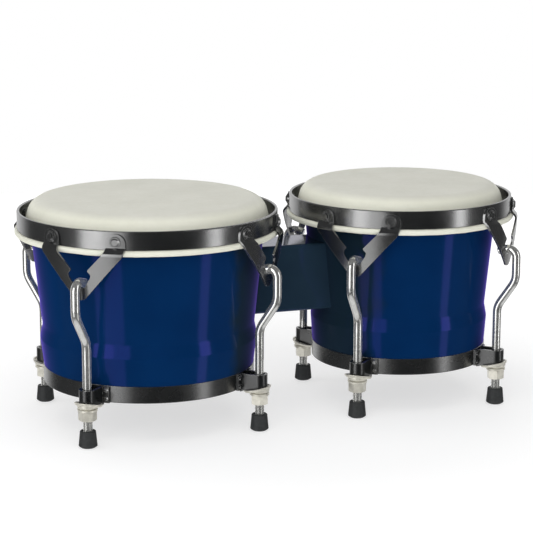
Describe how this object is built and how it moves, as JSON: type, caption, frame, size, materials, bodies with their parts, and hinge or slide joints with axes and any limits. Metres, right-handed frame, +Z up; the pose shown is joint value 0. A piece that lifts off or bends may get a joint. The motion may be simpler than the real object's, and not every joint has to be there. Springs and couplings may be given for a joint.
{
  "type": "pair of bongos",
  "caption": "A large and a small bongo drum joined by a wooden block, with rod-tuned skin heads, steel hoops and forked claws, standing on rubber-footed rods.",
  "frame": {"origin": "on the floor plane under the middle of the pair's overall length and width", "axes": "+Z up; +X from the large drum's axis to the small drum's axis; +Y to the back, away from the player's side"},
  "size_m": [0.4356, 0.22, 0.188],
  "materials": {
    "shell_lacquer": "high-gloss translucent blue lacquer over a turned wooden shell",
    "block_lacquer": "high-gloss dark navy lacquer on hardwood",
    "hide": "smooth natural hide, matt, faintly mottled",
    "black_steel": "satin black powder coat over steel",
    "chrome": "bright chrome plate",
    "nickel": "warm satin nickel plate",
    "zinc_steel": "plain zinc-plated steel",
    "foot_rubber": "matt dark grey rubber"
  },
  "bodies": {
    "root": {"centre_block": "block_lacquer", "block_bolts": "zinc_steel", "block_bolt_nuts": "zinc_steel", "block_bolt_washers": "zinc_steel", "large_shell": "shell_lacquer", "large_head_skin": "hide", "large_bottom_ring": "black_steel", "large_lug_brackets": "black_steel", "large_bracket_rivets": "black_steel", "large_cup_plates": "nickel", "large_washers": "nickel", "large_backing_plate": "zinc_steel", "small_shell": "shell_lacquer", "small_head_skin": "hide", "small_bottom_ring": "black_steel", "small_lug_brackets": "black_steel", "small_bracket_rivets": "black_steel", "small_cup_plates": "nickel", "small_washers": "nickel", "small_backing_plate": "zinc_steel"},
    "large_tension": {"large_counterhoop": "black_steel", "large_claw_rivets": "black_steel", "large_flesh_hoop": "zinc_steel", "large_claw_1": "black_steel", "large_tension_rod_1": "chrome", "large_rubber_foot_1": "foot_rubber", "large_claw_2": "black_steel", "large_tension_rod_2": "chrome", "large_rubber_foot_2": "foot_rubber", "large_claw_3": "black_steel", "large_tension_rod_3": "chrome", "large_rubber_foot_3": "foot_rubber", "large_claw_4": "black_steel", "large_tension_rod_4": "chrome", "large_rubber_foot_4": "foot_rubber"},
    "large_nut_1": {"large_tuning_nut_1": "nickel"},
    "large_nut_2": {"large_tuning_nut_2": "nickel"},
    "large_nut_3": {"large_tuning_nut_3": "nickel"},
    "large_nut_4": {"large_tuning_nut_4": "nickel"},
    "small_tension": {"small_counterhoop": "black_steel", "small_claw_rivets": "black_steel", "small_flesh_hoop": "zinc_steel", "small_claw_1": "black_steel", "small_tension_rod_1": "chrome", "small_rubber_foot_1": "foot_rubber", "small_claw_2": "black_steel", "small_tension_rod_2": "chrome", "small_rubber_foot_2": "foot_rubber", "small_claw_3": "black_steel", "small_tension_rod_3": "chrome", "small_rubber_foot_3": "foot_rubber", "small_claw_4": "black_steel", "small_tension_rod_4": "chrome", "small_rubber_foot_4": "foot_rubber"},
    "small_nut_1": {"small_tuning_nut_1": "nickel"},
    "small_nut_2": {"small_tuning_nut_2": "nickel"},
    "small_nut_3": {"small_tuning_nut_3": "nickel"},
    "small_nut_4": {"small_tuning_nut_4": "nickel"}
  },
  "joints": [
    {"name": "large_tuning_travel", "type": "slide", "parent": "root", "child": "large_tension", "axis": [0, 0, -1], "range_m": [-0.003, 0.005], "deforming": ["large_head_skin"]},
    {"name": "large_nut_turn_1", "type": "hinge", "parent": "root", "child": "large_nut_1", "pos_m": [-0.03497, 0.07283, 0.0264], "axis": [0, 0, 1], "range_deg": [-864, 1440]},
    {"name": "large_nut_turn_2", "type": "hinge", "parent": "root", "child": "large_nut_2", "pos_m": [-0.18063, 0.07283, 0.0264], "axis": [0, 0, 1], "range_deg": [-864, 1440]},
    {"name": "large_nut_turn_3", "type": "hinge", "parent": "root", "child": "large_nut_3", "pos_m": [-0.18063, -0.07283, 0.0264], "axis": [0, 0, 1], "range_deg": [-864, 1440]},
    {"name": "large_nut_turn_4", "type": "hinge", "parent": "root", "child": "large_nut_4", "pos_m": [-0.03497, -0.07283, 0.0264], "axis": [0, 0, 1], "range_deg": [-864, 1440]},
    {"name": "small_tuning_travel", "type": "slide", "parent": "root", "child": "small_tension", "axis": [0, 0, -1], "range_m": [-0.003, 0.005], "deforming": ["small_head_skin"]},
    {"name": "small_nut_turn_1", "type": "hinge", "parent": "root", "child": "small_nut_1", "pos_m": [0.18415, 0.06435, 0.0264], "axis": [0, 0, 1], "range_deg": [-864, 1440]},
    {"name": "small_nut_turn_2", "type": "hinge", "parent": "root", "child": "small_nut_2", "pos_m": [0.05545, 0.06435, 0.0264], "axis": [0, 0, 1], "range_deg": [-864, 1440]},
    {"name": "small_nut_turn_3", "type": "hinge", "parent": "root", "child": "small_nut_3", "pos_m": [0.05545, -0.06435, 0.0264], "axis": [0, 0, 1], "range_deg": [-864, 1440]},
    {"name": "small_nut_turn_4", "type": "hinge", "parent": "root", "child": "small_nut_4", "pos_m": [0.18415, -0.06435, 0.0264], "axis": [0, 0, 1], "range_deg": [-864, 1440]}
  ],
  "couplings": [
    {"joint": "large_nut_turn_1", "follows": "large_tuning_travel", "rad_per_m": 5026.5},
    {"joint": "large_nut_turn_2", "follows": "large_tuning_travel", "rad_per_m": 5026.5},
    {"joint": "large_nut_turn_3", "follows": "large_tuning_travel", "rad_per_m": 5026.5},
    {"joint": "large_nut_turn_4", "follows": "large_tuning_travel", "rad_per_m": 5026.5},
    {"joint": "small_nut_turn_1", "follows": "small_tuning_travel", "rad_per_m": 5026.5},
    {"joint": "small_nut_turn_2", "follows": "small_tuning_travel", "rad_per_m": 5026.5},
    {"joint": "small_nut_turn_3", "follows": "small_tuning_travel", "rad_per_m": 5026.5},
    {"joint": "small_nut_turn_4", "follows": "small_tuning_travel", "rad_per_m": 5026.5}
  ]
}
